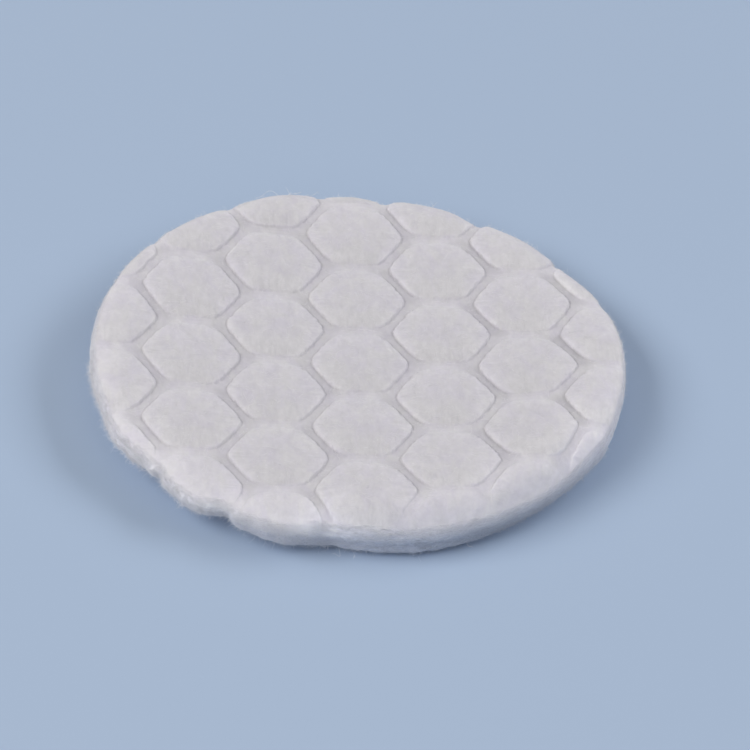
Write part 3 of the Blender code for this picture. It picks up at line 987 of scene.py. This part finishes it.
def skin_fibres(count, steps):
    """Hairs that lie on the upper skin, nearly flat."""
    profile = np.sin(math.pi * np.linspace(0, 1, steps))
    paths = paths_on_skin(skin_spots(count), math.pi, SKIN_FIBRE_LENGTHS, profile, SKIN_FIBRE_LIFTS)
    off_rim = skin_distance(paths[..., :2].reshape(-1, 2)).reshape(count, steps).min(axis=1)
    paths = paths[off_rim > SKIN_FIBRE_MARGIN]
    return paths, CHANCE.uniform(*SKIN_FIBRE_RADII, len(paths)), {"tone_and_painted_light": np.ones(len(paths))}


def wall_fibres(count, steps):
    """Tiny hairs that stick up along the walls of the slanting grooves."""
    spots = skin_spots(count)
    pattern = spots - wander(spots)
    offsets, _ = cell_offsets(pattern)
    off_wall = np.abs(edge_distance(offsets) - WALL_MIDDLE)
    spots = spots[(off_wall < WALL_FIBRE_REACH) & (level_share(pattern) < MOST_LEVEL_SHARE)]
    profile = np.linspace(WALL_FIBRE_ROOT, 1, steps)
    paths = paths_on_skin(spots, 2 * math.pi, WALL_FIBRE_LENGTHS, profile, WALL_FIBRE_LIFTS)
    return paths, CHANCE.uniform(*WALL_FIBRE_RADII, len(spots)), {"tone_and_painted_light": np.ones(len(spots))}


def long_fibres(steps):
    """Single long wavy fibres that hang off the rim."""
    paths = []
    for degrees, share, heading, climb, length in LONG_FIBRES:
        azimuth = np.array([math.radians(degrees)])
        root = side_points(azimuth, np.array([share]), np.array([-LONG_ROOT_DEPTH]))[0]
        place = np.linspace(0, 1, steps)[:, None]
        straight = direction(heading, climb) * length * place
        path = root + straight + waves(1, steps, LONG_FIBRE_WAVE * length)[0]
        path[:, 2] = np.maximum(path[:, 2], LOWEST_FIBRE)
        paths.append(path)
    return np.array(paths), np.full(len(paths), LONG_FIBRE_RADIUS), {"tone_and_painted_light": np.ones(len(paths))}


def build_fibres(material):
    tubes("cotton_side_fibres", material, *side_fibres(SIDE_FIBRES, steps=6))
    for name, hairs, *places in FUZZ_KINDS:
        tubes(name, material, *fuzz(hairs, *places, steps=3))
    tubes("cotton_skin_fibres", material, *skin_fibres(SKIN_FIBRES, steps=6))
    tubes("cotton_wall_fibres", material, *wall_fibres(WALL_FIBRES, steps=4))
    tubes("cotton_long_fibres", material, *long_fibres(steps=14))


def build_pad(material):
    azimuth = turns(RIM_POINTS)
    shares = np.linspace(0, 1, SIDE_ROWS + 1)
    rings = [side_points(azimuth, np.full(RIM_POINTS, share)) for share in shares]
    top_inner, low_inner = top_points(), underside_points()
    top = np.column_stack([top_inner, top_height(top_inner)])
    low = np.column_stack([low_inner, underside_height(low_inner)])
    first_low_edge = RIM_POINTS * SIDE_ROWS
    first_top = RIM_POINTS * (SIDE_ROWS + 1)
    first_low = first_top + len(top)

    faces = []
    for face in filled(rings[0][:, :2], top_inner):
        faces.append(tuple(i if i < RIM_POINTS else first_top - RIM_POINTS + i for i in face))
    for face in filled(rings[-1][:, :2], low_inner):
        shifted = (first_low_edge + i if i < RIM_POINTS else first_low - RIM_POINTS + i for i in face)
        faces.append(tuple(shifted)[::-1])
    for row in range(SIDE_ROWS):
        for i in range(RIM_POINTS):
            j = (i + 1) % RIM_POINTS
            upper, lower = row * RIM_POINTS, (row + 1) * RIM_POINTS
            faces.append((upper + i, lower + i, lower + j, upper + j))
    points = np.concatenate([*rings, top, low])
    pad = new_piece("cotton_pad_skin", points, faces, material)
    add_pad_values(pad, points[:, :2], azimuth, shares, first_top, first_low)
    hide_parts("cotton_pad")


def add_pad_values(pad, points, azimuth, shares, first_top, first_low):
    """The tone with painted light and shade, the blue-grey painted shade, the fluff and the pleats that the
    pad's material reads: one rule for its side, one for its skin.
    """
    skin = np.r_[0:RIM_POINTS, first_top:first_low]
    on_skin = points[skin]
    off_rim = np.clip(skin_distance(on_skin), 0, None)
    names = ("tone_and_painted_light", "painted_blue_shade", "fluff", "pleats_y", "pleats_x")
    columns = np.zeros((len(names), len(points)))
    tone_and_painted_light, painted_blue_shade, fluff, pleats_y, pleats_x = columns
    tone_and_painted_light[:] = 1
    tone_and_painted_light[:first_top] = np.concatenate([side_tone(azimuth, share) for share in shares])
    tone_and_painted_light[skin] = skin_tone(on_skin)
    painted_blue_shade[:first_top] = np.concatenate([side_coolness(azimuth, share) for share in shares])
    painted_blue_shade[skin] = side_coolness(azimuth_of(on_skin), 0.0) * fading(off_rim, SIDE_TONE_REACH)
    swelling = np.clip(np.sin(math.pi * shares), 0, 1) ** 0.5
    fluff[:first_top] = np.outer(swelling, fraying(azimuth)).ravel()
    pleats_y[skin], pleats_x[skin] = pleat_shares(on_skin)
    for name, values in zip(names, columns):
        add_values(pad, name, values)


# Materials

class Shading:
    """Short ways to add and join the nodes of one material."""

    def __init__(self, name):
        self.material = bpy.data.materials.new(name)
        self.material.use_nodes = True
        self.nodes = self.material.node_tree.nodes
        self.shader = self.nodes["Principled BSDF"]

    def add(self, kind, settings=None, **inputs):
        """A new node. An input is a value, or another node's output."""
        node = self.nodes.new(kind)
        for name, value in (settings or {}).items():
            setattr(node, name, value)
        for name, value in inputs.items():
            self.set(node, name, value)
        return node

    def set(self, node, name, value):
        socket = node.inputs[int(name)] if name.isdigit() else node.inputs[name]
        if isinstance(value, bpy.types.NodeSocket):
            self.material.node_tree.links.new(value, socket)
        else:
            socket.default_value = value

    def surface(self, inputs):
        """The material, once its shader has the inputs."""
        for name, value in inputs.items():
            self.set(self.shader, name, value)
        return self.material

    def math(self, operation, *values):
        node = self.add("ShaderNodeMath", {"operation": operation})
        for place, value in enumerate(values):
            self.set(node, str(place), value)
        return node.outputs[0]

    def blend(self, share, first, second):
        """A colour between the first, at share 0, and the second, at share 1."""
        node = self.add("ShaderNodeMix", {"data_type": "RGBA"})
        color_sockets = {"0": share, "6": first, "7": second}
        for name, value in color_sockets.items():
            self.set(node, name, value)
        return node.outputs[2]

    def scaled(self, vector, scale):
        """A vector or colour times a value."""
        node = self.add("ShaderNodeVectorMath", {"operation": "SCALE"}, Scale=scale)
        self.set(node, "0", vector)
        return node.outputs[0]

    def place_in_mm(self):
        return self.scaled(self.add("ShaderNodeTexCoord").outputs["Object"], 1 / MM)

    def stretched(self, place, sizes):
        """Coordinates in which bumps of size 1 are drawn out to the sizes along x, y and z."""
        scale = tuple(1 / size for size in sizes)
        return self.add("ShaderNodeMapping", Vector=place, Scale=scale).outputs[0]

    def noise(self, place, size, detail=3.0, roughness=0.5, distortion=0.0):
        """Noise whose coarsest bumps are about as wide as the size, in mm."""
        node = self.add(
            "ShaderNodeTexNoise",
            Vector=place,
            Scale=1 / size,
            Detail=detail,
            Roughness=roughness,
            Distortion=distortion,
        )
        return node.outputs["Fac"]

    def strands(self, place, degrees):
        """Thin crossing lines along one direction, 0 to 1, from the ridges of a stretched noise."""
        turned = self.add(
            "ShaderNodeMapping",
            {"vector_type": "TEXTURE"},
            Vector=place,
            Rotation=(0, 0, math.radians(degrees)),
            Scale=(STRAND_LENGTH, STRAND_WIDTH, STRAND_WIDTH),
        )
        field = self.noise(turned.outputs[0], 1.0, detail=2.0, distortion=0.6)
        off_ridge = self.math("ABSOLUTE", self.math("SUBTRACT", field, 0.5))
        return self.math("SUBTRACT", 1.0, self.math("MULTIPLY", off_ridge, STRAND_SHARPNESS))

    def pleats(self, place, sizes, share):
        """Drawn-out noise about 0, times the share that is stored under a name."""
        field = self.noise(self.stretched(place, sizes), 1.0, detail=1.0, distortion=0.3)
        return self.math("MULTIPLY", self.math("SUBTRACT", field, 0.5), self.attribute(share))

    def attribute(self, name):
        return self.add("ShaderNodeAttribute", {"attribute_name": name}).outputs["Fac"]


def cotton_material():
    look = Shading("cotton")
    place = look.place_in_mm()
    drawn = look.stretched(place, DRAWN_SIZES)
    mottling = look.noise(drawn, MOTTLING_SIZE, detail=5.0, roughness=0.65, distortion=0.5)
    clouds = look.noise(drawn, CLOUD_SIZE, detail=3.0, roughness=0.6, distortion=0.4)
    grain = look.noise(drawn, GRAIN_SIZE, detail=2.0, roughness=0.5)
    felt = look.strands(place, STRAND_DEGREES[0])
    for degrees in STRAND_DEGREES[1:]:
        felt = look.math("MAXIMUM", felt, look.strands(place, degrees))
    front_pleats = look.pleats(place, FRONT_PLEAT_SIZES, "pleats_y")
    pleats = look.math("ADD", front_pleats, look.pleats(place, SIDE_PLEAT_SIZES, "pleats_x"))
    streaks = look.noise(look.stretched(place, STREAK_SIZES), 1.0, detail=3.0, roughness=0.6)
    streaks = look.math("MULTIPLY", look.math("SUBTRACT", streaks, 0.5), look.attribute("fluff"))

    warmth = look.math("MULTIPLY_ADD", look.attribute("pleats_y"), WARM_PLEATS, mottling)
    patches = look.add("ShaderNodeValToRGB", Fac=warmth)
    patch_colors = (COTTON_COOL, COTTON_WARM)
    for element, position, color in zip(patches.color_ramp.elements, WARMTH_RANGE, patch_colors):
        element.position = position
        element.color = color
    # The pad's tone, which carries painted light and painted shade, times the cotton's patterns
    tone_and_painted_light = look.attribute("tone_and_painted_light")
    height = 0.0
    fields = (felt, grain, clouds, mottling, pleats, streaks)
    for field, (strength, middle, rise) in zip(fields, PATTERNS.values()):
        change = look.math("MULTIPLY_ADD", field, strength, 1 - strength * middle)
        tone_and_painted_light = look.math("MULTIPLY", tone_and_painted_light, change)
        if rise:
            height = look.math("MULTIPLY_ADD", field, rise, height)
    bump = look.add("ShaderNodeBump", Height=height, Strength=1.0, Distance=BUMP_DISTANCE)
    # The colour turns to the blue-grey painted shade low on the cut side
    color_with_painted_shade = look.blend(look.attribute("painted_blue_shade"), patches.outputs["Color"], COTTON_PAINTED_SHADE)
    return look.surface({
        "Base Color": look.scaled(color_with_painted_shade, tone_and_painted_light),
        "Normal": bump.outputs[0],
        "Roughness": 0.95,
        "Specular IOR Level": 0.15,
        "Subsurface Weight": 0.5,
        "Subsurface Radius": (1.0, 1.0, 1.0),
        "Subsurface Scale": 0.16 * MM,
        "Sheen Weight": 0.15,
        "Sheen Roughness": 0.6,
    })


def fibre_material():
    look = Shading("loose_cotton")
    # The loose fibres' tone carries painted light, and their colour turns to a blue-grey painted shade
    color_with_painted_shade = look.blend(look.attribute("painted_blue_shade"), FIBRE_COLOR, FIBRE_PAINTED_SHADE)
    color = look.scaled(color_with_painted_shade, look.attribute("tone_and_painted_light"))
    return look.surface({"Base Color": color, "Roughness": 0.9, "Specular IOR Level": 0.15})


def floor_material():
    plain = Shading("floor")
    return plain.surface({"Base Color": FLOOR_COLOR, "Roughness": 0.9, "Specular IOR Level": 0.1})


# Stage

def build_floor():
    half = FLOOR_SIZE / 2
    points = [(-half, -half, 0), (half, -half, 0), (half, half, 0), (-half, half, 0)]
    mesh = bpy.data.meshes.new("floor")
    mesh.from_pydata(points, [], [(0, 1, 2, 3)])
    mesh.materials.append(floor_material())
    floor = new_object("floor", mesh)


def build_camera():
    turn = Matrix.Rotation(math.radians(CAMERA_TURN_DEGREES), 3, "Z")
    tilt = Matrix.Rotation(math.radians(90 - CAMERA_HEIGHT_DEGREES), 3, "X")
    roll = Matrix.Rotation(math.radians(CAMERA_ROLL_DEGREES), 3, "Z")
    facing = turn @ tilt @ roll
    data = bpy.data.cameras.new("camera")
    data.sensor_width = SENSOR_MM
    data.lens = FOCAL_PIXELS / FRAME_PIXELS * SENSOR_MM
    data.clip_start = CAMERA_CLIP_START
    camera = new_object("camera", data)
    camera.location = AIM_POINT + CAMERA_DISTANCE * facing.col[2]
    camera.rotation_euler = facing.to_euler()
    bpy.context.scene.camera = camera


def add_lamp(name, bearing, height, wide, tall, power, color):
    """A soft lamp that faces the pad. Its bearing and height are in degrees, its size in metres."""
    out = Vector(direction(bearing, height))
    data = bpy.data.lights.new(name, "AREA")
    data.shape = "RECTANGLE"
    data.size = wide
    data.size_y = tall
    data.energy = power
    data.color = color
    lamp = new_object(name, data)
    lamp.location = out * LAMP_DISTANCE
    lamp.rotation_euler = out.to_track_quat("Z", "Y").to_euler()


def build_lights():
    add_lamp("left_lamp", bearing=197, height=41, wide=1.2, tall=0.55, power=9.2, color=(1.0, 0.99, 0.97))
    add_lamp("right_lamp", bearing=14, height=36, wide=1.2, tall=0.45, power=7.0, color=(0.97, 0.98, 1.0))
    add_lamp("front_lamp", bearing=268, height=32, wide=1.4, tall=0.6, power=1.6, color=(1.0, 1.0, 1.0))
    world = bpy.data.worlds.new("studio")
    world.use_nodes = True
    background = world.node_tree.nodes["Background"]
    background.inputs["Color"].default_value = WORLD_COLOR
    background.inputs["Strength"].default_value = WORLD_STRENGTH
    bpy.context.scene.world = world


build_pad(cotton_material())
build_fibres(fibre_material())
build_floor()
build_camera()
build_lights()
bpy.context.scene.view_settings.view_transform = "Standard"


def corners(box):
    return [[float(value) for value in corner] for corner in box]
